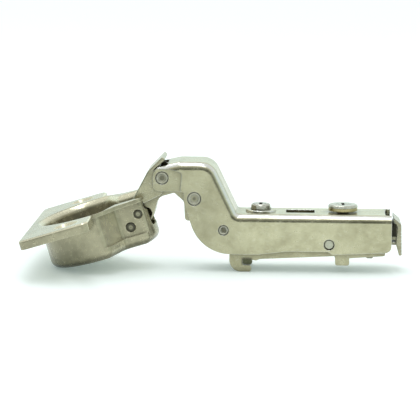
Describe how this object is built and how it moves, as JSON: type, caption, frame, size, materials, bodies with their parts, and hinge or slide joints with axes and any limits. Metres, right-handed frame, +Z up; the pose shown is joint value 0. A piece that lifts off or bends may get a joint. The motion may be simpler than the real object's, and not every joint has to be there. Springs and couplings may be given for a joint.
{
  "type": "cranked hinge",
  "caption": "Concealed clip-on cabinet hinge, fully open: round cup with screw wings, two pivoting links, a cranked channel arm with adjusting screws and an inner clip carrier.",
  "frame": {"origin": "centre of the bounding box, on the floor plane that the cup and the hooks rest on", "axes": "+X along the arm away from the cup, +Y across the hinge away from the viewer of the picture, +Z up"},
  "size_m": [0.1146, 0.0624, 0.0351],
  "materials": {
    "pressed_steel": "satin nickel plating",
    "link_steel": "satin nickel plating",
    "pin_steel": "bright turned pins",
    "screw_steel": "bright plated screws",
    "spring_steel": "dark spring wire",
    "yellow_washer": "yellow passivated plating",
    "shoe_plastic": "dark moulded plastic"
  },
  "bodies": {
    "carrier": {"clip_carrier": "pressed_steel", "lever_pivot_pin": "pin_steel", "lever_spring": "spring_steel"},
    "screw_slide": {"screw_retaining_ring": "screw_steel"},
    "screw": {"side_adjustment_screw": "screw_steel"},
    "cam": {"depth_cam": "screw_steel", "cam_washer": "yellow_washer"},
    "lever": {"release_lever": "pressed_steel"},
    "arm": {"cranked_arm": "pressed_steel", "front_rivet": "pin_steel", "middle_rivet": "pin_steel", "spring_rivet": "pin_steel", "rear_guide_pin": "pin_steel", "closing_spring": "spring_steel", "spring_shoe": "shoe_plastic"},
    "outer_link": {"outer_link": "link_steel"},
    "inner_link": {"inner_link": "link_steel"},
    "cup": {"hinge_cup": "pressed_steel", "cup_pin_upper": "pin_steel", "cup_pin_lower": "pin_steel"}
  },
  "joints": [
    {"name": "depth_adjust", "type": "slide", "parent": "carrier", "child": "screw_slide", "axis": [1, 0, 0], "range_m": [-0.00173, 0.00173]},
    {"name": "side_adjust", "type": "hinge", "parent": "screw_slide", "child": "arm", "pos_m": [0.0347, 0, 0.01725], "axis": [0, 1, 0], "range_deg": [-2.44, 4.08]},
    {"name": "side_screw_turn", "type": "hinge", "parent": "screw_slide", "child": "screw", "pos_m": [0.0136, 0, 0.0138], "axis": [0, 0, 1], "range_deg": [-406.1, 676.6]},
    {"name": "depth_cam_turn", "type": "hinge", "parent": "carrier", "child": "cam", "pos_m": [0.0389, 0, 0.0138], "axis": [0, 0, 1], "range_deg": [-60.5, 60.5]},
    {"name": "release", "type": "hinge", "parent": "carrier", "child": "lever", "pos_m": [0.0479, 0, 0.0098], "axis": [0, 1, 0], "range_deg": [0, 16], "stiffness_Nm_per_rad": 0.06, "springref_deg": -20.05},
    {"name": "door_fold", "type": "hinge", "parent": "outer_link", "child": "cup", "pos_m": [-0.02598, 0, 0.01357], "axis": [0, 1, 0], "range_deg": [0, 127.51]},
    {"name": "outer_link_turn", "type": "hinge", "parent": "arm", "child": "outer_link", "pos_m": [-0.0165, 0, 0.0289], "axis": [0, 1, 0], "range_deg": [-20.8, 0]},
    {"name": "inner_link_turn", "type": "hinge", "parent": "arm", "child": "inner_link", "pos_m": [-0.0066, 0, 0.0227], "axis": [0, 1, 0], "range_deg": [-39.7, 0]}
  ],
  "couplings": [
    {"joint": "outer_link_turn", "follows": "door_fold", "ratio": -0.16084},
    {"joint": "inner_link_turn", "follows": "door_fold", "ratio": -0.30885},
    {"joint": "side_screw_turn", "follows": "side_adjust", "ratio": 165.72},
    {"joint": "depth_cam_turn", "follows": "depth_adjust", "rad_per_m": -605.32}
  ]
}
